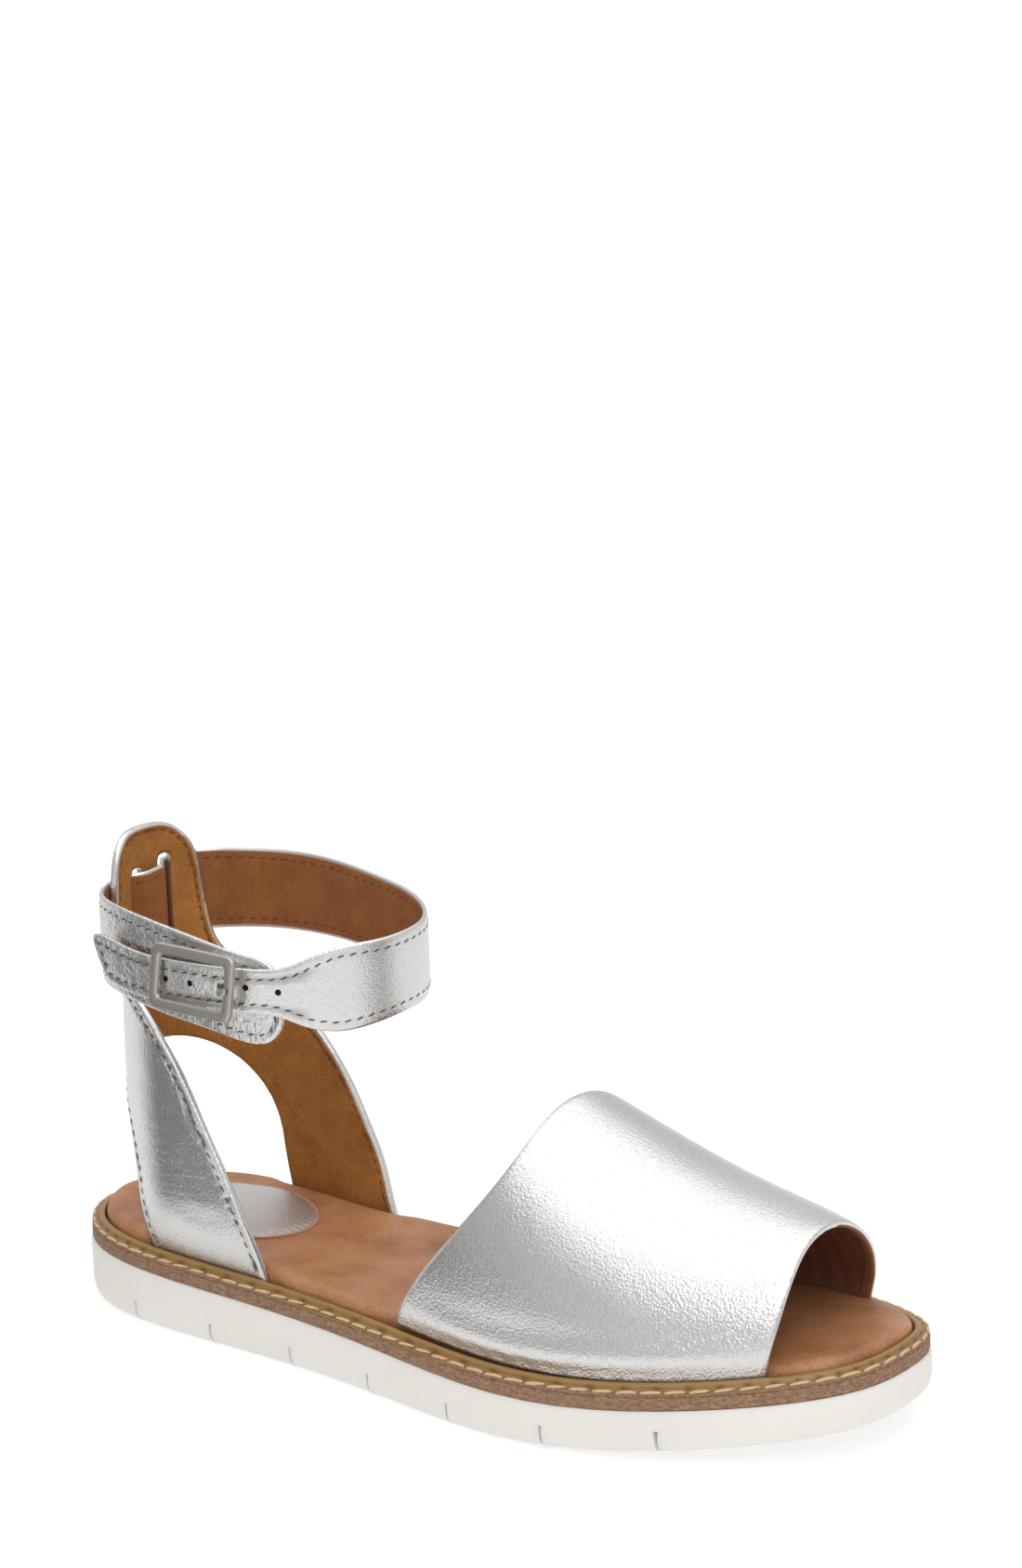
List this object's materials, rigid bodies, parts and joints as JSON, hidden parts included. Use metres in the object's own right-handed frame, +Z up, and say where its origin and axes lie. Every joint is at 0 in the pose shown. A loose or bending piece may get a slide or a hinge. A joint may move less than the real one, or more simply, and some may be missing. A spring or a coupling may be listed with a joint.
{
  "type": "ankle strap sandal",
  "caption": "Ankle strap sandal for the right foot: wide open-toe band, heel quarter with a slotted tab, buckled strap, padded footbed and grooved platform sole.",
  "frame": {"origin": "on the floor, under the middle of the sole's bounding box", "axes": "+X towards the toe, +Y towards the inner (medial) side of the right foot, +Z up"},
  "size_m": [0.2588, 0.0955, 0.132],
  "materials": {
    "outsole_rubber": "matte white moulded rubber",
    "midsole_board": "brown fibre board, buffed edge",
    "welt_leather": "waxed tan leather",
    "footbed_leather": "smooth tan lining leather",
    "silver_leather": "silver foil on grained leather",
    "buckle_metal": "satin nickel plate"
  },
  "bodies": {
    "root": {"outsole": "outsole_rubber", "midsole": "midsole_board", "welt": "welt_leather", "footbed": "footbed_leather", "heel_sock": "silver_leather", "toe_band": "silver_leather", "heel_quarter": "silver_leather", "ankle_strap": "silver_leather", "buckle_frame": "buckle_metal", "buckle_prong": "buckle_metal"}
  },
  "joints": []
}
